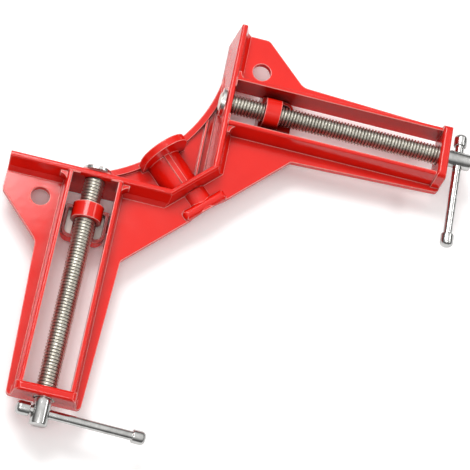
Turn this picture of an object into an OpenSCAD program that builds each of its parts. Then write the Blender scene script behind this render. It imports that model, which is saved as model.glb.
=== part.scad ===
// Corner clamp: a die-cast body with two arms at right angles, two lead screws and two sliding jaws.
// It lies as it is photographed, screw side up, resting on the lower edges of its two fences.
// Origin: the corner where the two fence faces would meet, at the level of those lower edges.
// The left arm runs along +X, the right arm along +Y, and the part is alike about the plane x = y.

/* [Body] */
// Depth of the fences below the plate, where the work is held
fence_depth = 10; // [6:0.5:16]
// Thickness of the plate
plate_t = 2.5; // [2:0.1:4]
// Height of the slot walls above the plate
wall_h = 8.5; // [8:0.1:12]
// Extra height of the end wall over the slot walls
end_wall_rise = 1.8; // [0.5:0.1:4]
// Distance from the corner to the middle of each slot
slot_offset = 45; // [44:0.5:52]
// Clear width of each slot
slot_w = 17.6; // [16:0.1:20]
// Length of each slot from the fence face to the end wall
slot_len = 83.8; // [70:0.2:110]
// Thickness of the end wall that carries the screw
end_wall_t = 3.7; // [3:0.1:6]
// Thickness of a slot wall at its top
wall_top_t = 1.5; // [1.2:0.1:3]
// How much wider a slot wall is at the plate than at its top
wall_draft = 1.2; // [0.4:0.1:2]
// Length of each fence from the corner to its outer end
fence_len = 78; // [74:0.5:100]
// Thickness of a fence at its top
fence_top_t = 2.1; // [1.6:0.1:4]
// How much a fence thickens at its back from top to bottom
fence_draft = 1.8; // [0.5:0.1:3]
// Depth of the cut across the corner, along each fence
corner_cut = 15.6; // [12:0.2:20]
// Width of the arm's flange from the slot middle at its root
flange_root = 16.6; // [15:0.1:20]
// Width of the arm's flange from the slot middle at its end
flange_end = 13.9; // [13:0.1:16]
// Diameter of the fixing hole in each ear
ear_hole_d = 7.3; // [4:0.1:9]
// Distance of the fixing hole from the fence face
ear_hole_u = 9.6; // [8:0.1:14]
// Distance of the fixing hole from the corner, along the fence
ear_hole_v = 63.6; // [62.5:0.1:68]

/* [Corner block] */
// Thickness of the block's floor
floor_t = 2.4; // [2:0.1:4]
// Distance from the corner to the block's hollow back edge, on the diagonal
back_edge = 32.4; // [28:0.1:36]
// Radius of the hollow back edge
back_r = 66; // [55:1:90]
// Width of the rim along the back edge
rim_w = 2.6; // [1.5:0.1:4]
// Height of that rim over the floor
rim_h = 1.8; // [0.5:0.1:4]
// Outside radius of the vault that runs along the diagonal
vault_r = 7.1; // [6:0.1:9]
// Wall thickness of the vault
vault_t = 2.2; // [1.5:0.1:3]
// Half width of the flat strip along the vault's crown
strip_half = 1.1; // [0.8:0.1:3]
// Half width of the arched plate at the vault's back end
arch_r = 9.8; // [9:0.1:12]
// Top of the arched plate over the fences' lower edges
arch_top = 19.2; // [16:0.1:20.5]
// Thickness of the arched plate
arch_t = 3; // [2:0.1:5]
// Half width of the raised lip at the plate's front edge
lip_half = 9.4; // [6:0.1:11]
// Depth of the lip along the diagonal
lip_depth = 4.3; // [2:0.1:5]
// Height of the lip's crown over the plate
lip_h = 2.4; // [1.6:0.1:4]

/* [Screws] */
// Outside diameter of the thread
screw_d = 7.8; // [7.2:0.1:8.4]
// Height of the screw over the plate
screw_h = 4; // [4:0.1:5]
// Diameter of the plain end outside the end wall
stub_d = 6.8; // [6.2:0.1:7]
// Length of the plain end
stub_len = 9.9; // [9:0.1:14]
// Diameter of the journal in the fence
journal_d = 6; // [5:0.1:6.4]
// Diameter of the upset head behind the washer
upset_d = 7.4; // [7:0.1:9]
// Thickness of the upset head
upset_t = 0.8; // [0.6:0.1:2]
// Outside diameter of the retaining washer
washer_d = 11; // [10:0.1:12]
// Thickness of the retaining washer
washer_t = 1.2; // [0.8:0.1:2]

/* [Jaws] */
// Length of the jaw's guide block along the arm
jaw_len = 13; // [11:0.1:16]
// Width of the pressing plate
jaw_face_w = 26; // [20:0.5:30]
// Thickness of the pressing plate
jaw_face_t = 4; // [3:0.1:5]
// Outside diameter of the threaded collar
collar_d = 11.8; // [11.4:0.1:13]
// Length of the collar
collar_len = 6.2; // [5:0.1:8]
// Distance of the left jaw's face from its fence
left_gap = 9.8; // [2:0.1:30]
// Distance of the right jaw's face from its fence
right_gap = 12; // [2:0.1:30]

/* [Bars] */
// Diameter of the sliding bar
bar_d = 3.5; // [3:0.1:4]
// Length over both end caps
bar_len = 48.6; // [40:0.2:60]
// Diameter of an end cap
cap_d = 5.2; // [4.6:0.1:6]
// Length of an end cap
cap_len = 5.1; // [4.6:0.1:6]
// Tilt of the left bar's long end below the level
left_bar_tilt = 6; // [-20:1:20]
// Tilt of the right bar's long end below the level
right_bar_tilt = -2; // [-20:1:20]
// Clear space between the left bar's near cap and the screw
left_bar_space = 0.7; // [0.5:0.1:30]
// Clear space between the right bar's near cap and the screw
right_bar_space = 2.5; // [0.5:0.1:30]

/* [Fits] */
// Radial clearance of every turning or sliding round
run_clear = 0.08; // [0.04:0.01:0.1]
// Side clearance of the jaw in its slot and under the plate
slide_clear = 0.4; // [0.3:0.05:0.6]
// End play of the screw
end_play = 0.2; // [0.1:0.05:0.4]

/* [Hidden] */
$fn = 64;
small_fn = 32;
arc_steps = 6;
eps = 0.02;
more = 60;
diag = sqrt(2);
edge = 0.5;
plate_low = fence_depth;
plate_top = plate_low + plate_t;
wall_top = plate_top + wall_h;
end_top = wall_top + end_wall_rise;
screw_z = plate_top + screw_h;
slot_half = slot_w / 2;
arm_end = slot_len + end_wall_t;
stub_end = arm_end + stub_len;
bar_u = arm_end + stub_len / 2;
wall_round = 0.7;
wall_base_t = wall_top_t + wall_draft;
web_round = 3;
web_drop = 1.4;
web_h = wall_h - web_drop;
end_lean = 0.3;
end_edge = 1.2;
slot_root = 0.1;
end_half = slot_half + wall_base_t - end_lean;
end_round = 2.4;
fence_lean = 0.3;
fence_back_top = fence_lean + fence_top_t;
fence_back_low = fence_back_top + fence_draft;
fence_foot = 2.6;
groove_w = 2.2;
rib_t = 0.9;
rib_rise = 1.4;
fence_foot_h = 2.2;
fence_waist = 1.1;
ridge_round = 0.8;
ear_len = 10.3;
ear_round = 2.5;
notch_u = 27.1;
notch_round = 5;
front_u = 27.6;
front_round = 2;
front_edge = 0.8;
flange_round = 1.6;
cut_front = corner_cut / diag;
cut_draft = 0.9;
cut_low = cut_front - cut_draft;
cut_wall_t = 2;
cut_back = cut_front + cut_wall_t;
block_reach = 0.6 * fence_len;
arch_inset = 0.6;
arch_back = back_edge - arch_inset;
arch_front = arch_back - arch_t;
arch_mid_z = arch_top - arch_r;
lip_corner = 1.6;
lip_wall = 1.2;
lip_round = 1.9;
hump_half = 4.4;
hump_h = 2.1;
lip_hollow_rise = 3;
hump_hollow_rise = 2.6;
strip_h = 0.5;
seat_rise = 0.6;
seat_clear = 0.5;
washer_seat = fence_back_top + seat_rise;
seat_d = washer_d + 2 * seat_clear;
upset_back = -washer_seat - washer_t - end_play - upset_t;
jaw_half = slot_half - slide_clear;
jaw_low = 0.6;
jaw_round = 3.4;
jaw_rim = 1.3;
jaw_sink = 0.3;
jaw_web = 3;
jaw_floor = 3;
jaw_top = plate_top - jaw_sink;
jaw_body_top = plate_low - slide_clear;
jaw_under = jaw_body_top - jaw_web;
jaw_pocket_floor = jaw_under + jaw_floor;
pocket_fall = 8;
pocket_side_fall = 15;
neck_half = 4.4;
collar_set = 0.9;
cap_round = 1.6;
spigot_d = bar_d - 0.7;
spigot_len = 3.2;

// Helpers

// A point of the right half from its distance along the arm and along the fence
function at(u, v) = [-v, u];

// Corner q between p and n, replaced by a short arc of radius r
function arc_corner(p, q, n, r) =
  let (
    a = (p - q) / norm(p - q),
    b = (n - q) / norm(n - q),
    half = acos(a * b) / 2,
    mid = q + (a + b) / norm(a + b) * (r / sin(half)),
    start = q + a * (r / tan(half)) - mid,
    end = q + b * (r / tan(half)) - mid,
    a0 = atan2(start[1], start[0]),
    sweep = (atan2(end[1], end[0]) - a0 + 540) % 360 - 180
  )
  [for (i = [0 : arc_steps]) mid + r * [cos(a0 + sweep * i / arc_steps), sin(a0 + sweep * i / arc_steps)]];

// A polygon given as [point, corner radius] pairs
module rounded(list) {
  count = len(list);
  polygon([for (i = [0 : count - 1])
    let (p = list[(i + count - 1) % count][0], q = list[i][0], n = list[(i + 1) % count][0], r = list[i][1])
    each (r > 0 ? arc_corner(p, q, n, r) : [q])]);
}

// The right half and its mirror image
module both_halves() {
  children();
  left_half() children();
}

module left_half() {
  mirror([1, -1, 0]) children();
}

// Section drawn in (distance along the fence, height), run along the right arm from u0 to u1
module along_arm(u0, u1) {
  translate([0, u1, 0]) rotate([90, 0, 0]) linear_extrude(u1 - u0) mirror([1, 0]) children();
}

// Section drawn in (distance along the arm, height), run along the right fence from v0 to v1
module along_fence(v0, v1) {
  translate([-v1, 0, 0]) rotate([90, 0, 90]) linear_extrude(v1 - v0) children();
}

// Frame of the diagonal: x across it, y back along it
module diagonal() {
  rotate([0, 0, 135]) children();
}

// Section drawn in (across, height), run back along the diagonal from d0 to d1
module along_diagonal(d0, d1) {
  diagonal() translate([0, d1, 0]) rotate([90, 0, 0]) linear_extrude(d1 - d0) children();
}

// Section drawn in (distance back along the diagonal, height), run across it
module across_diagonal(half) {
  diagonal() translate([-half, 0, 0]) rotate([90, 0, 90]) linear_extrude(2 * half) children();
}

// Round about the right screw's axis from u0 to u1
module about_screw(d, u0, u1) {
  translate([-slot_offset, u0, screw_z]) rotate([-90, 0, 0]) cylinder(d = d, h = u1 - u0);
}

// Frame of the right bar: z runs along the bar to its near end, from the screw's axis
module bar_frame(tilt) {
  translate([-slot_offset, bar_u, screw_z]) rotate([0, tilt - 90, 0]) children();
}

// Low arch in (across, height) of the given half width, springing from z0
module low_arch(half, z0, rise) {
  r = (half * half + rise * rise) / (2 * rise);
  intersection() {
    translate([0, z0 + rise - r]) circle(r = r, $fn = 120);
    translate([-half, z0]) square([2 * half, rise + eps]);
  }
}

// Body

module plate_half() {
  translate([0, 0, plate_low]) linear_extrude(plate_t)
    difference() {
      rounded([
        [at(-cut_low / diag - eps, cut_low / diag + eps), 0],
        [at(-front_edge / diag - eps, front_edge / diag + eps), 0],
        [at(-front_edge / diag, front_edge / diag), 0],
        [at(front_u, front_u + front_edge * diag), front_round],
        [at(arm_end, slot_offset - flange_end), flange_round],
        [at(arm_end, slot_offset + flange_end), flange_round],
        [at(notch_u, slot_offset + flange_root), notch_round],
        [at(ear_len, fence_len), ear_round],
        [at(-fence_lean, fence_len), 0],
        [at(-fence_lean, corner_cut), 0]]);
      translate(at(ear_hole_u, ear_hole_v)) circle(d = ear_hole_d);
    }
}

module slot_walls_half() {
  for (side = [0, 1])
    along_arm(-fence_lean, arm_end - wall_round)
      translate([slot_offset, 0]) mirror([side, 0])
        rounded([
          [[slot_half - wall_base_t, plate_low], 0],
          [[slot_half + wall_base_t, plate_low], 0],
          [[slot_half + wall_base_t, plate_top], 0],
          [[slot_half + wall_top_t, wall_top], wall_round],
          [[slot_half - wall_base_t, wall_top], 0]]);
}

module end_wall_half() {
  intersection() {
    along_arm(slot_len, arm_end)
      translate([slot_offset, 0])
        rounded([
          [[-end_half - wall_draft, plate_low], 0],
          [[end_half + wall_draft, plate_low], 0],
          [[end_half, end_top], end_round],
          [[-end_half, end_top], end_round]]);
    along_fence(slot_offset - end_half - more, slot_offset + end_half + more)
      rounded([
        [[slot_len, plate_low], 0],
        [[arm_end, plate_low], 0],
        [[arm_end, end_top], end_edge],
        [[slot_len, end_top], end_edge]]);
  }
}

module fence_half() {
  along_fence(corner_cut - fence_back_low * diag, fence_len)
    rounded([
      [[0, 0], 0],
      [[0, plate_low], 0],
      [[fence_foot, plate_low], 0],
      [[fence_foot, plate_top], 0],
      [[fence_waist, plate_top + fence_foot_h], 0],
      [[-fence_lean, wall_top], ridge_round],
      [[-fence_back_top, wall_top], ridge_round],
      [[-fence_back_low, 0], 0]]);
}

// Low rib beside the fence inside the corner block
module back_rib_half() {
  along_fence(corner_cut, slot_offset)
    translate([-fence_back_low - groove_w - rib_t, 0]) square([rib_t, floor_t + rib_rise]);
}

// Seat of the washer on the back of the fence
module washer_seat_half() {
  intersection() {
    about_screw(seat_d, -washer_seat, -fence_lean);
    translate([-slot_offset - seat_d, -more, 0]) cube([2 * seat_d, 2 * more, wall_top - ridge_round]);
  }
}

// Upright webs where the slot walls meet the fence
module webs_half() {
  for (side = [0, 1])
    translate([-slot_offset, 0, plate_low]) mirror([side, 0, 0])
      linear_extrude(plate_t + web_h)
        translate([slot_half + wall_top_t, fence_waist])
          difference() {
            translate([-wall_top_t / 2, -fence_waist]) square([web_round + wall_top_t / 2, web_round + fence_waist]);
            translate([web_round, web_round]) circle(r = web_round, $fn = small_fn);
          }
}

// Wall across the corner, joining the two fences
module corner_wall() {
  across_diagonal(cut_low)
    rounded([
      [[front_edge, 0], 0],
      [[cut_back + fence_draft, 0], 0],
      [[cut_back, wall_top], ridge_round],
      [[front_edge, wall_top], 0]]);
}

// All that lies in front of the wall across the corner
module corner_front() {
  across_diagonal(more)
    rounded([
      [[-more, -more], 0],
      [[cut_low, -more], 0],
      [[cut_low, plate_top], 0],
      [[cut_front, wall_top - ridge_round], 0],
      [[cut_front + ridge_round, wall_top + eps], 0],
      [[cut_front + ridge_round, wall_top + more], 0],
      [[-more, wall_top + more], 0]]);
}

// Outline of the corner block in the diagonal frame, out to its hollow back edge
module block_outline() {
  difference() {
    polygon([[-cut_low, cut_low], [cut_low, cut_low], [block_reach, block_reach], [-block_reach, block_reach]]);
    translate([0, back_edge + back_r]) circle(r = back_r, $fn = 240);
  }
}

module block_floor() {
  diagonal() {
    linear_extrude(floor_t) block_outline();
    linear_extrude(floor_t + rim_h)
      intersection() {
        block_outline();
        translate([0, back_edge + back_r]) circle(r = back_r + rim_w, $fn = 240);
      }
  }
}

// Vault along the diagonal and the arched plate at its back end
module vault() {
  along_diagonal(cut_front + cut_wall_t / 2, back_edge - eps)
    intersection() {
      translate([0, floor_t]) circle(r = vault_r);
      translate([-vault_r, 0]) square([2 * vault_r, 2 * vault_r]);
    }
  along_diagonal(cut_front + cut_wall_t / 2, arch_front + eps)
    translate([-strip_half, floor_t]) square([2 * strip_half, vault_r + strip_h]);
  along_diagonal(arch_front, arch_back) {
    translate([0, arch_mid_z]) circle(r = arch_r);
    translate([-arch_r, 0]) square([2 * arch_r, arch_mid_z]);
  }
}

// Hollow under the vault, open at both ends
module vault_hollow() {
  along_diagonal(front_edge, more) {
    translate([0, floor_t]) circle(r = vault_r - vault_t);
    translate([-vault_r + vault_t, -floor_t]) square([2 * (vault_r - vault_t), 2 * floor_t]);
  }
}

// Raised lip at the plate's front edge and the low hump behind it
module front_lip() {
  intersection() {
    along_diagonal(front_edge, front_edge + lip_depth)
      rounded([
        [[-lip_half, plate_low], 0],
        [[lip_half, plate_low], 0],
        [[lip_half, plate_top + lip_h], lip_round],
        [[-lip_half, plate_top + lip_h], lip_round]]);
    diagonal() linear_extrude(more)
      rounded([
        [[-lip_half, front_edge], lip_corner],
        [[lip_half, front_edge], lip_corner],
        [[lip_half, front_edge + lip_depth], lip_corner],
        [[-lip_half, front_edge + lip_depth], lip_corner]]);
    across_diagonal(lip_half)
      rounded([
        [[front_edge, plate_low], 0],
        [[front_edge + lip_depth, plate_low], 0],
        [[front_edge + lip_depth, plate_top + lip_h], lip_round],
        [[front_edge, plate_top + lip_h], lip_round]]);
  }
  along_diagonal(front_edge, cut_low + eps)
    low_arch(hump_half, plate_top - eps, hump_h);
}

// Hollow under the lip and the hump
module front_hollow() {
  along_diagonal(-front_edge, front_edge + lip_depth - lip_wall)
    low_arch(lip_half - lip_wall, plate_low - eps, lip_hollow_rise);
  along_diagonal(-front_edge, cut_low)
    low_arch(hump_half, plate_low - eps, hump_hollow_rise);
}

module slot_half_cut() {
  translate([-slot_offset - slot_half, slot_root, -more]) cube([slot_w, slot_len - slot_root, 3 * more]);
}

module bores_half() {
  about_screw(journal_d + 2 * run_clear, -more, slot_len / 2);
  about_screw(washer_d + 2 * seat_clear, -more, -washer_seat);
  about_screw(screw_d + 2 * run_clear, slot_len / 2, arm_end + more);
}

module body() {
  color("firebrick")
    difference() {
      union() {
        difference() {
          union() {
            both_halves() {
              fence_half();
              back_rib_half();
            }
            corner_wall();
            block_floor();
            vault();
          }
          corner_front();
          vault_hollow();
        }
        difference() {
          union() {
            both_halves() plate_half();
            front_lip();
          }
          front_hollow();
        }
        both_halves() {
          slot_walls_half();
          end_wall_half();
          webs_half();
          washer_seat_half();
        }
      }
      both_halves() {
        slot_half_cut();
        bores_half();
      }
    }
}

// Screws

module screw_shape(tilt) {
  color("silver")
    difference() {
      translate([-slot_offset, 0, screw_z]) rotate([-90, 0, 0])
        rotate_extrude()
          polygon([
            [0, upset_back],
            [upset_d / 2 - edge, upset_back],
            [upset_d / 2, upset_back + edge],
            [upset_d / 2, upset_back + upset_t],
            [journal_d / 2, upset_back + upset_t],
            [journal_d / 2, end_play],
            [screw_d / 2, end_play],
            [screw_d / 2, arm_end],
            [stub_d / 2, arm_end],
            [stub_d / 2, stub_end - edge],
            [stub_d / 2 - edge, stub_end],
            [0, stub_end]]);
      bar_frame(tilt) cylinder(d = bar_d + 2 * run_clear, h = 2 * stub_d, center = true);
    }
}

module left_screw() {
  left_half() screw_shape(left_bar_tilt);
}

module right_screw() {
  screw_shape(right_bar_tilt);
}

module retaining_washers() {
  color("gainsboro")
    both_halves()
      difference() {
        about_screw(washer_d, -washer_seat - washer_t, -washer_seat);
        about_screw(journal_d + 2 * run_clear, -more, more);
      }
}

// Jaws

// Outline of the guide block in the slot, seen from above
module guide_outline(inset) {
  rounded([
    [at(inset, slot_offset - jaw_half + inset), edge],
    [at(jaw_len - inset, slot_offset - jaw_half + inset), jaw_round - inset],
    [at(jaw_len - inset, slot_offset + jaw_half - inset), jaw_round - inset],
    [at(inset, slot_offset + jaw_half - inset), edge]]);
}

// Space of a cored pocket beside the neck; its floor falls to the fence and to one side
module pocket_space(side) {
  v = side * (neck_half + jaw_half) / 2;
  intersection() {
    translate(at(jaw_len / 2, slot_offset + v)) translate([0, 0, jaw_pocket_floor])
      rotate([pocket_fall, -pocket_side_fall, 0]) translate([-more, -more, 0]) cube(2 * more);
    translate([-slot_offset, -more, 0]) mirror([(side + 1) / 2, 0, 0])
      translate([neck_half, 0, 0]) cube([more, 2 * more, more]);
  }
}

module jaw_shape() {
  color("crimson")
    difference() {
      union() {
        difference() {
          union() {
            translate([0, 0, jaw_under]) linear_extrude(jaw_top - jaw_under) guide_outline(0);
            along_fence(slot_offset - jaw_half, slot_offset + jaw_half)
              polygon([[0, jaw_low], [jaw_face_t, jaw_low], [jaw_len - jaw_round, jaw_under],
                [jaw_len - jaw_round, jaw_body_top], [0, jaw_body_top]]);
            along_fence(slot_offset - jaw_face_w / 2, slot_offset + jaw_face_w / 2)
              rounded([
                [[0, jaw_low], edge],
                [[jaw_face_t, jaw_low], edge],
                [[jaw_face_t, jaw_body_top], 0],
                [[0, jaw_body_top], 0]]);
          }
          for (side = [-1, 1])
            intersection() {
              linear_extrude(more) guide_outline(jaw_rim);
              pocket_space(side);
            }
        }
        translate([-slot_offset - neck_half, collar_set, jaw_under])
          cube([2 * neck_half, collar_len, screw_z - jaw_under]);
        about_screw(collar_d, collar_set, collar_set + collar_len);
      }
      about_screw(screw_d + 2 * run_clear, -more, more);
    }
}

module left_jaw() {
  left_half() translate([0, left_gap, 0]) jaw_shape();
}

module right_jaw() {
  translate([0, right_gap, 0]) jaw_shape();
}

// Bars and their end caps

// The near cap starts this far from the screw's axis
function near_start(space) = stub_d / 2 + space;

// The far cap starts this far beyond the screw's axis
function far_start(space) = bar_len - 2 * cap_len - near_start(space);

module bar_shape(tilt, space) {
  color("lightgray")
    bar_frame(tilt) {
      translate([0, 0, -far_start(space)]) cylinder(d = bar_d, h = far_start(space) + near_start(space));
      translate([0, 0, -far_start(space) - spigot_len])
        cylinder(d = spigot_d, h = far_start(space) + near_start(space) + 2 * spigot_len);
    }
}

// A cap whose mouth is at z = 0 and whose end points along +z
module cap_shape() {
  color("lightgray")
    rotate_extrude()
      rounded([
        [[spigot_d / 2, 0], 0],
        [[cap_d / 2, 0], edge],
        [[cap_d / 2, cap_len], cap_round],
        [[0, cap_len], 0],
        [[0, spigot_len], 0],
        [[spigot_d / 2, spigot_len], 0]]);
}

module near_cap(tilt, space) {
  bar_frame(tilt) translate([0, 0, near_start(space)]) cap_shape();
}

module far_cap(tilt, space) {
  bar_frame(tilt) translate([0, 0, -far_start(space)]) mirror([0, 0, 1]) cap_shape();
}

module left_bar() {
  left_half() bar_shape(left_bar_tilt, left_bar_space);
}

module right_bar() {
  bar_shape(right_bar_tilt, right_bar_space);
}

module left_bar_near_cap() {
  left_half() near_cap(left_bar_tilt, left_bar_space);
}

module left_bar_far_cap() {
  left_half() far_cap(left_bar_tilt, left_bar_space);
}

module right_bar_near_cap() {
  near_cap(right_bar_tilt, right_bar_space);
}

module right_bar_far_cap() {
  far_cap(right_bar_tilt, right_bar_space);
}

body();
left_screw();
right_screw();
left_jaw();
right_jaw();
left_bar();
right_bar();
left_bar_near_cap();
left_bar_far_cap();
right_bar_near_cap();
right_bar_far_cap();
retaining_washers();
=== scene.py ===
import math

import bmesh
import bpy
import numpy as np
from mathutils import Matrix, Vector


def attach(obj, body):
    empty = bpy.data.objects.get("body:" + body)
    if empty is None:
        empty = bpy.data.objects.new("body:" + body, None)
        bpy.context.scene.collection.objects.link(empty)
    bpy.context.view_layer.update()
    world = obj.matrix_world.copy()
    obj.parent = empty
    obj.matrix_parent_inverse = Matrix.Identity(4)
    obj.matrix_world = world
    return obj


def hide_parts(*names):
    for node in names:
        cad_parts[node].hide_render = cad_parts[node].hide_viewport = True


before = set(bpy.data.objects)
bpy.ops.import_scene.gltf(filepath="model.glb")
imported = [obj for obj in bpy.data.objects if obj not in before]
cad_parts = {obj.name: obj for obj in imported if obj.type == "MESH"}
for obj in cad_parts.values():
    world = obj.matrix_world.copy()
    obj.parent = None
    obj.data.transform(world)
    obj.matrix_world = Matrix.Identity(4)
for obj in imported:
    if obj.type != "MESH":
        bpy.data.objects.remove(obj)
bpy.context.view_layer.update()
MM = 0.001
SIDES = ("left", "right")


# Sizes shared with the solids, in millimetres, with lengths along a screw measured from its fence's face

# Distance of each screw's axis from the plane of the other fence's face, and its height
SLOT_OFFSET = 45.0
SCREW_Z = 16.5
# Outer end of the arms
ARM_END = 87.5
# Plain end of the screws, and the bar through it, with its tilt at rest in degrees
STUB_END = 97.4
STUB_R = 3.4
BAR_U = 92.45
BAR_R = 1.75
BAR_TILT = {"left": 6.0, "right": -2.0}
# Thread, and the shoulder where it starts
PITCH = 1.25
CREST_R = 3.9
ROOT_R = 3.2
SHOULDER = 0.2
# Journal in the fence, and its upset end behind the washer
JOURNAL_R = 3.0
UPSET_R = 3.7
UPSET_BACK = -5.2
UPSET_T = 0.8


# Details that only the visual has, in millimetres

# Rolled profile over half a pitch: distance from the crest in pitches, and share of the thread's depth
PROFILE_AT = (0.0, 0.04, 0.09, 0.15, 0.33, 0.40, 0.5)
PROFILE_HEIGHT = (1.0, 0.99, 0.92, 0.78, 0.16, 0.03, 0.0)
# Phases of the pitch between which a row of the thread gets the root's painted shade, a dark metal
# standing in for the shade in the groove
ROOT_SHADE_BAND = (0.35, 0.65)
# Turns laid out past each end, before the thread is cut to length
SPARE_TURNS = 2
# Cut from the crest's radius at the shoulder
SHOULDER_CUT = 0.3
# Domed face of an upset end: distance from its back, and radius
UPSET_DOME = ((0.0, 0.0), (0.0, 1.3), (0.12, 2.6), (0.35, 3.3), (0.6, UPSET_R))
# Rounded end of a stub: distance from its end, and cut from its radius
STUB_ROUND = ((0.7, 0.0), (0.2, 0.2), (0.0, 0.6))
# How far a stub reaches into the end wall
STUB_SUNK = 0.6
# Room round a bar in its cross hole, and length of the tool that bores it
BORE_ROOM = 0.08
BORE_LEN = 12.0
# Points round a screw, and round a bore
ROUND_STEPS = 48
BORE_STEPS = 40
# Edges past these angles, in degrees, stay sharp
SHARP = 38.0
BORED_SHARP = 32.0
# Points nearer than this, in metres, are one
WELD = 1e-7


# Node trees

# Sockets of the colour mix node, which shares its sockets' names with other kinds of mix
MIX_SHARE = 0
MIX_COLOURS = (6, 7)
MIX_RESULT = 2
# Range of a noise that carries most of its values
NOISE_RANGE = (0.3, 0.7)
# Detail of the noise in a bump
BUMP_DETAIL = 2.0
# Rays that look round a point for edges and hollows
RAYS = 8


class Nodes:
    """Short calls for building the node tree of one material or of the world."""

    def __init__(self, owner, output, coordinates):
        owner.use_nodes = True
        self.tree = owner.node_tree
        self.tree.nodes.clear()
        self.out = self.add(output)
        self.coord = self.add("ShaderNodeTexCoord").outputs[coordinates]

    def add(self, kind, constants=None, **settings):
        """A new node with its settings, and constants for its sockets by name."""
        node = self.tree.nodes.new(kind)
        for key, value in settings.items():
            setattr(node, key, value)
        for key, value in (constants or {}).items():
            node.inputs[key].default_value = value
        return node

    def link(self, output, socket):
        self.tree.links.new(output, socket)

    def feed(self, value, socket):
        """Gives a socket a constant tuple or another node's output."""
        if isinstance(value, tuple):
            socket.default_value = value
        else:
            self.link(value, socket)

    def noise(self, scale, detail=3.0, rough=0.5):
        node = self.add("ShaderNodeTexNoise", {"Scale": scale, "Detail": detail, "Roughness": rough})
        self.link(self.coord, node.inputs["Vector"])
        return node.outputs["Fac"]

    def spread(self, value, source, result=(0.0, 1.0)):
        """A value mapped from one range to another, and held at its ends."""
        node = self.add("ShaderNodeMapRange", {
            "From Min": source[0], "From Max": source[1], "To Min": result[0], "To Max": result[1]})
        self.link(value, node.inputs["Value"])
        return node.outputs["Result"]

    def mix(self, share, low, high):
        """A colour between two, each a constant or another node's output."""
        node = self.add("ShaderNodeMix", data_type="RGBA")
        self.link(share, node.inputs[MIX_SHARE])
        for index, colour in zip(MIX_COLOURS, (low, high)):
            self.feed((*colour, 1.0) if isinstance(colour, tuple) else colour, node.inputs[index])
        return node.outputs[MIX_RESULT]

    def combine(self, operation, first, second):
        node = self.add("ShaderNodeMath", operation=operation)
        self.link(first, node.inputs[0])
        self.link(second, node.inputs[1])
        return node.outputs["Value"]

    def dot(self, first, second):
        node = self.add("ShaderNodeVectorMath", operation="DOT_PRODUCT")
        self.link(first, node.inputs[0])
        self.feed(second, node.inputs[1])
        return node.outputs["Value"]

    def bump(self, scale, strength, depth):
        """A fine bump from noise, which also takes a normal."""
        node = self.add("ShaderNodeBump", {"Strength": strength, "Distance": depth})
        self.link(self.noise(scale, BUMP_DETAIL), node.inputs["Height"])
        return node

    def surface(self, shader):
        self.link(shader, self.out.inputs["Surface"])


def material_nodes(mat):
    return Nodes(mat, "ShaderNodeOutputMaterial", "Object")


# Paint

# Cloudy tone, gloss and orange peel, as scales of noise and their effect
CLOUD_SCALE = 60.0
CLOUD_DETAIL = 4.0
GLOSS_SCALE = 140.0
PAINT_ROUGH = (0.10, 0.17)
PEEL_SCALE = 450.0
PEEL_STRENGTH = 0.10
PEEL_DEPTH = 0.2 * MM
# How far the paint looks for a hollow, and the openness from its painted shade, darker in hollows where
# shade falls, to its plain tone
HOLLOW_REACH = 9 * MM
SHADE_OPENNESS = (0.18, 0.66)
# Rounding of the edges' shading
EDGE_ROUND = 0.55 * MM
# Painted highlight lines along edges: reach, agreement of rounded and true normal from none to full, most,
# and openness
LINE_REACH = 0.9 * MM
LINE_AGREES = (0.95, 0.86)
LINE_MOST = 0.9
LINE_OPENNESS = (0.35, 0.65)
# Painted reflection of the bright surround on the left jaw's pocket floors: its colour, the way the floors
# face, and how closely a face has to agree
POCKET_REFLECTION = (0.90, 0.76, 0.70)
POCKET_FLOOR = (-0.139, -0.256, 0.957)
POCKET_AGREES = (0.994, 0.998)


def paint(name, base, shade, painted_shade, edge_highlight, glint_facing=None):
    """Gloss enamel on a die casting, with painted shade in hollows, painted highlight lines along the
    edges, and a painted reflection on faces that look the given way.
    """
    mat = bpy.data.materials.new(name)
    n = material_nodes(mat)
    bsdf = n.add("ShaderNodeBsdfPrincipled")
    tone = n.mix(n.spread(n.noise(CLOUD_SCALE, CLOUD_DETAIL), NOISE_RANGE), shade, base)
    hollow = n.add("ShaderNodeAmbientOcclusion", {"Distance": HOLLOW_REACH}, samples=RAYS)
    openness = hollow.outputs["AO"]
    # Painted shade: hollows that the occlusion finds are darkened towards the shade colour
    tone = n.mix(n.spread(openness, SHADE_OPENNESS), painted_shade, tone)
    rounded = n.add("ShaderNodeBevel", {"Radius": EDGE_ROUND}, samples=RAYS)
    true_normal = n.add("ShaderNodeNewGeometry").outputs["True Normal"]
    ridge = n.add("ShaderNodeBevel", {"Radius": LINE_REACH}, samples=RAYS)
    agreement = n.dot(ridge.outputs["Normal"], true_normal)
    # Painted reflection: faces that look the given way take a pale cream colour
    if glint_facing:
        tone = n.mix(n.spread(n.dot(true_normal, glint_facing), POCKET_AGREES), tone, POCKET_REFLECTION)
    # Painted highlight: pale lines where the rounded normal turns from the true one, fewer in hollows
    highlight_share = n.spread(agreement, LINE_AGREES, (0.0, LINE_MOST))
    highlight_line = n.combine("MULTIPLY", highlight_share, n.spread(openness, LINE_OPENNESS))
    n.link(n.mix(highlight_line, tone, edge_highlight), bsdf.inputs["Base Color"])
    n.link(n.spread(n.noise(GLOSS_SCALE), NOISE_RANGE, PAINT_ROUGH), bsdf.inputs["Roughness"])
    peel = n.bump(PEEL_SCALE, PEEL_STRENGTH, PEEL_DEPTH)
    n.link(rounded.outputs["Normal"], peel.inputs["Normal"])
    n.link(peel.outputs["Normal"], bsdf.inputs["Normal"])
    n.surface(bsdf.outputs["BSDF"])
    return mat


# Metal

# Cloudy tone: detail and roughness of its noise, and the range of it that turns dark to light
STREAK_DETAIL = 5.0
STREAK_ROUGH = 0.6
STREAK_RANGE = (0.35, 0.65)
# How much finer the polish varies than the tone
POLISH_FINER = 3.0
# Fine scratches
SCRATCH_SCALE = 2500.0
SCRATCH_DEPTH = 0.1 * MM


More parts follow.
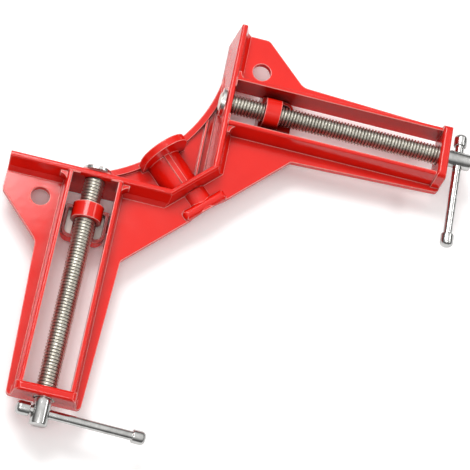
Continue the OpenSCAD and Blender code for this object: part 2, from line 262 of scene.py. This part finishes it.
def metal(name, light, dark, rough, streak, grain):
    """Plated steel with cloudy tone, varied polish and fine scratches."""
    mat = bpy.data.materials.new(name)
    n = material_nodes(mat)
    bsdf = n.add("ShaderNodeBsdfPrincipled", {"Metallic": 1.0})
    tone = n.spread(n.noise(streak, STREAK_DETAIL, STREAK_ROUGH), STREAK_RANGE)
    n.link(n.mix(tone, dark, light), bsdf.inputs["Base Color"])
    n.link(n.spread(n.noise(streak * POLISH_FINER), NOISE_RANGE, rough), bsdf.inputs["Roughness"])
    scratches = n.bump(SCRATCH_SCALE, grain, SCRATCH_DEPTH)
    n.link(scratches.outputs["Normal"], bsdf.inputs["Normal"])
    n.surface(bsdf.outputs["BSDF"])
    return mat


# Materials

# Base and darker cloudy tone, painted shade in hollows, and painted highlight along edges
ENAMEL = ((0.76, 0.011, 0.004), (0.70, 0.008, 0.003), (0.10, 0.001, 0.0004), (0.95, 0.42, 0.38))
RED = paint("red enamel", *ENAMEL)
# The jaws' enamel paints a reflection on the left jaw's pocket floors
JAW_RED = paint("jaw enamel", *ENAMEL, glint_facing=POCKET_FLOOR)
# Light tone, dark tone, roughness, scale of the tone, strength of the scratches
STEEL = metal("thread steel", (0.78, 0.76, 0.70), (0.68, 0.66, 0.60), (0.30, 0.40), 120.0, 0.03)
# Painted shade: dark metal for the thread's roots, where shade falls in the groove
ROOT_SHADE = metal("thread root shade", (0.13, 0.11, 0.09), (0.08, 0.065, 0.055), (0.45, 0.6), 120.0, 0.03)
CHROME = metal("bar chrome", (0.66, 0.66, 0.65), (0.48, 0.48, 0.47), (0.12, 0.24), 220.0, 0.03)
ZINC = metal("washer zinc", (0.78, 0.77, 0.75), (0.66, 0.65, 0.63), (0.18, 0.28), 200.0, 0.04)


# Meshes

def smooth(mesh, angle):
    """Smooth shading, with edges past the angle left sharp."""
    mesh.polygons.foreach_set("use_smooth", [True] * len(mesh.polygons))
    mesh.set_sharp_from_angle(angle=math.radians(angle))
    mesh.update()


def mesh_object(name, verts, faces, mats, face_mats=None):
    """A smooth object made of points and faces, with its double points joined."""
    mesh = bpy.data.meshes.new(name)
    mesh.from_pydata(verts, [], faces)
    for mat in mats:
        mesh.materials.append(mat)
    if face_mats is not None:
        mesh.polygons.foreach_set("material_index", face_mats)
    bm = bmesh.new()
    bm.from_mesh(mesh)
    bmesh.ops.remove_doubles(bm, verts=bm.verts, dist=WELD)
    bmesh.ops.dissolve_degenerate(bm, dist=WELD, edges=bm.edges)
    bmesh.ops.recalc_face_normals(bm, faces=bm.faces)
    bm.to_mesh(mesh)
    bm.free()
    smooth(mesh, SHARP)
    obj = bpy.data.objects.new(name, mesh)
    bpy.context.scene.collection.objects.link(obj)
    return obj


def arm_point(side, u, r, angle):
    """A point at distance u along an arm's screw, r from its axis, turned right-handed about it."""
    c, s = r * math.cos(angle), r * math.sin(angle)
    if side == "left":
        return (u * MM, (-SLOT_OFFSET + c) * MM, (SCREW_Z + s) * MM)
    return ((-SLOT_OFFSET + s) * MM, u * MM, (SCREW_Z + c) * MM)


def revolve(side, outline):
    """Rings of points for an outline of (u, r) about a screw's axis, and the faces between them."""
    angles = [2 * math.pi * j / ROUND_STEPS for j in range(ROUND_STEPS)]
    verts = [arm_point(side, u, r, angle) for u, r in outline for angle in angles]
    faces = []
    for i in range(len(outline) - 1):
        ring, following = i * ROUND_STEPS, (i + 1) * ROUND_STEPS
        for j in range(ROUND_STEPS):
            k = (j + 1) % ROUND_STEPS
            faces.append((ring + j, ring + k, following + k, following + j))
    return verts, faces


def thread_radius(phase):
    """Radius of the rolled thread at a phase of its pitch: crest at 0, root at a half."""
    from_crest = abs((phase + 0.5) % 1.0 - 0.5)
    height = float(np.interp(from_crest, PROFILE_AT, PROFILE_HEIGHT))
    return ROOT_R + (CREST_R - ROOT_R) * height


def thread(side, start, end):
    """Left-hand thread between two lengths along a screw; its rows follow the helix."""
    rows = PROFILE_AT + tuple(1.0 - at for at in PROFILE_AT[-2:0:-1])
    turns = range(int(start / PITCH) - SPARE_TURNS, int(end / PITCH) + SPARE_TURNS + 1)
    phases = [turn + row for turn in turns for row in rows]
    width = ROUND_STEPS + 1
    verts, faces, mats = [], [], []
    for phase in phases:
        for j in range(width):
            share = j / ROUND_STEPS
            u = min(max((phase - share) * PITCH, start), end)
            verts.append(arm_point(side, u, thread_radius(u / PITCH + share), 2 * math.pi * share))
    for i in range(len(phases) - 1):
        # Rows in the root band take the painted shade of the thread's groove
        painted_shade = ROOT_SHADE_BAND[0] <= phases[i] % 1.0 < ROOT_SHADE_BAND[1]
        row, following = i * width, (i + 1) * width
        for j in range(ROUND_STEPS):
            faces.append((row + j, row + j + 1, following + j + 1, following + j))
            mats.append(1 if painted_shade else 0)
    return verts, faces, mats


def bar_axis(side):
    """Direction of a bar through its screw at rest."""
    tilt = math.radians(BAR_TILT[side])
    if side == "left":
        return Vector((0.0, -math.cos(tilt), math.sin(tilt)))
    return Vector((-math.cos(tilt), 0.0, math.sin(tilt)))


def cut_hole(obj, centre, axis, radius, length):
    """Bores a round hole through an object."""
    bm = bmesh.new()
    bmesh.ops.create_cone(
        bm, cap_ends=True, segments=BORE_STEPS, radius1=radius, radius2=radius, depth=length)
    turn = axis.to_track_quat("Z", "Y").to_matrix().to_4x4()
    bmesh.ops.transform(bm, matrix=Matrix.Translation(centre) @ turn, verts=bm.verts)
    mesh = bpy.data.meshes.new("cutter")
    bm.to_mesh(mesh)
    bm.free()
    cutter = bpy.data.objects.new("cutter", mesh)
    bpy.context.scene.collection.objects.link(cutter)
    hole = obj.modifiers.new("hole", "BOOLEAN")
    hole.operation = "DIFFERENCE"
    hole.solver = "EXACT"
    hole.object = cutter
    bpy.context.view_layer.update()
    done = bpy.data.meshes.new_from_object(obj.evaluated_get(bpy.context.evaluated_depsgraph_get()))
    obj.modifiers.clear()
    obj.data = done
    smooth(done, BORED_SHARP)
    bpy.data.objects.remove(cutter)


# Screws

def thread_piece(side):
    """The thread of a screw, with its journal and upset end."""
    verts, faces, mats = thread(side, SHOULDER, ARM_END)
    neck = UPSET_BACK + UPSET_T
    journal = [(UPSET_BACK + at, r) for at, r in UPSET_DOME]
    journal += [(neck, UPSET_R), (neck, JOURNAL_R)]
    journal += [(SHOULDER, r) for r in (JOURNAL_R, CREST_R - SHOULDER_CUT, 0.0)]
    more, extra = revolve(side, journal)
    faces += [tuple(i + len(verts) for i in face) for face in extra]
    verts += more
    mats += [0] * len(extra)
    return mesh_object(f"{side}_thread", verts, faces, [STEEL, ROOT_SHADE], mats)


def stub_piece(side):
    """The plain end of a screw, bored for its bar."""
    start = ARM_END - STUB_SUNK
    outline = [(start, 0.0), (start, STUB_R)]
    outline += [(STUB_END - at, STUB_R - cut) for at, cut in STUB_ROUND]
    outline += [(STUB_END, 0.0)]
    stub = mesh_object(f"{side}_stub", *revolve(side, outline), [CHROME])
    centre = Vector(arm_point(side, BAR_U, 0.0, 0.0))
    cut_hole(stub, centre, bar_axis(side), (BAR_R + BORE_ROOM) * MM, BORE_LEN * MM)
    return stub


for side in SIDES:
    for piece in (thread_piece(side), stub_piece(side)):
        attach(piece, f"{side}_spindle")
        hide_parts(f"{side}_screw")


# Materials of the other nodes, which keep the solids' shapes

looks = {"body": RED, "retaining_washers": ZINC}
for side in SIDES:
    looks[f"{side}_jaw"] = JAW_RED
    for part in ("bar", "bar_near_cap", "bar_far_cap"):
        looks[f"{side}_{part}"] = CHROME
for name, mat in looks.items():
    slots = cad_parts[name].data.materials
    slots.clear()
    slots.append(mat)


# Floor

FLOOR_SIZE = 6.0
FLOOR_DROP = 0.2 * MM
FLOOR_TONES = (0.86, 0.88)
FLOOR_CLOUDS = 3.0
# Lift of the floor's colour towards white for what looks at it, and the share of it that metal mirrors
FLOOR_LIFT = 0.22
MIRRORED = 0.1
# Glow of the floor near the object and far from it, and the distances of the two in metres
FLOOR_GLOW = (0.02, 0.7)
GLOW_REACH = (0.3, 1.2)


def grey(level):
    return (level, level, level)


def floor():
    """White floor that keeps the shadow and is lifted to white for what looks straight at it."""
    bpy.ops.mesh.primitive_plane_add(size=FLOOR_SIZE, location=(0, 0, -FLOOR_DROP))
    obj = bpy.context.object
    obj.name = "floor"
    mat = bpy.data.materials.new("white floor")
    n = material_nodes(mat)
    base = n.add("ShaderNodeBsdfDiffuse")
    n.link(n.mix(n.noise(FLOOR_CLOUDS), *map(grey, FLOOR_TONES)), base.inputs["Color"])
    path = n.add("ShaderNodeLightPath").outputs
    mirrored = n.spread(path["Is Glossy Ray"], (0.0, 1.0), (0.0, MIRRORED))
    seen = n.combine("MAXIMUM", path["Is Camera Ray"], mirrored)
    seen = n.combine("MAXIMUM", seen, path["Is Transmission Ray"])
    lift = n.add("ShaderNodeBsdfDiffuse")
    n.link(n.mix(seen, grey(0.0), grey(FLOOR_LIFT)), lift.inputs["Color"])
    away = n.add("ShaderNodeVectorMath", operation="LENGTH")
    n.link(n.coord, away.inputs[0])
    glow = n.add("ShaderNodeEmission")
    strength = n.combine("MULTIPLY", n.spread(away.outputs["Value"], GLOW_REACH, FLOOR_GLOW), seen)
    n.link(strength, glow.inputs["Strength"])
    shader = base.outputs["BSDF"]
    for more in (lift.outputs["BSDF"], glow.outputs["Emission"]):
        both = n.add("ShaderNodeAddShader")
        n.link(shader, both.inputs[0])
        n.link(more, both.inputs[1])
        shader = both.outputs["Shader"]
    n.surface(shader)
    obj.data.materials.append(mat)


# Camera's axes and place, its lens in millimetres and its shift in shares of the frame

RIGHT = Vector((-0.18286, 0.967194, 0.176344))
UP = Vector((-0.912089, -0.233843, 0.336767))
BACK = Vector((0.366956, -0.09926, 0.924928))
EYE = Vector((0.25897, -0.056945, 0.649017))
SENSOR = 36.0
LENS = 137.88
SHIFT = (0.0022, -0.0009)


def camera():
    cam = bpy.data.cameras.new("camera")
    cam.sensor_width = SENSOR
    cam.lens = LENS
    cam.shift_x, cam.shift_y = SHIFT
    obj = bpy.data.objects.new("camera", cam)
    obj.matrix_world = Matrix.Translation(EYE) @ Matrix((RIGHT, UP, BACK)).transposed().to_4x4()
    bpy.context.scene.collection.objects.link(obj)
    bpy.context.scene.camera = obj


# Light

# Point that the lamps look at
MIDDLE = Vector((0.0, 0.0, 0.01))
# Lamps: place from that point in metres, size in metres, and power in watts
LAMPS = {
    "key": (Vector((-0.42, -0.30, 0.86)), (0.40, 0.40), 4.7),
    "front": (BACK, (0.30, 0.30), 1.7),
    "strip": (Vector((-0.15, 0.75, 0.65)), (0.8, 0.12), 1.6),
}
# Sky: its colour, its brightest direction, its strength away from there and there, and where the two hold
SKY_COLOUR = (1.0, 0.99, 0.98, 1.0)
OVERHEAD = (-0.15, 0.0, 0.989)
SKY_STRENGTH = (0.14, 0.98)
SKY_SPREAD = (0.40, 0.90)


def lamp(name, offset, size, power):
    """A rectangular lamp that looks at the middle of the object."""
    light = bpy.data.lights.new(name, "AREA")
    light.shape = "RECTANGLE"
    light.size, light.size_y = size
    light.energy = power
    obj = bpy.data.objects.new(name, light)
    obj.location = MIDDLE + offset
    obj.rotation_euler = (-offset).to_track_quat("-Z", "Y").to_euler()
    bpy.context.scene.collection.objects.link(obj)


def sky():
    """Wide soft light overhead, falling off to a dim surround, and white where it is looked at."""
    world = bpy.data.worlds.new("studio")
    bpy.context.scene.world = world
    n = Nodes(world, "ShaderNodeOutputWorld", "Generated")
    back = n.add("ShaderNodeBackground", {"Color": SKY_COLOUR})
    strength = n.spread(n.dot(n.coord, OVERHEAD), SKY_SPREAD, SKY_STRENGTH)
    seen = n.add("ShaderNodeLightPath").outputs["Is Camera Ray"]
    n.link(n.combine("MAXIMUM", strength, seen), back.inputs["Strength"])
    n.surface(back.outputs["Background"])


floor()
for name, settings in LAMPS.items():
    lamp(name, *settings)
sky()
camera()
bpy.context.scene.view_settings.view_transform = "Standard"
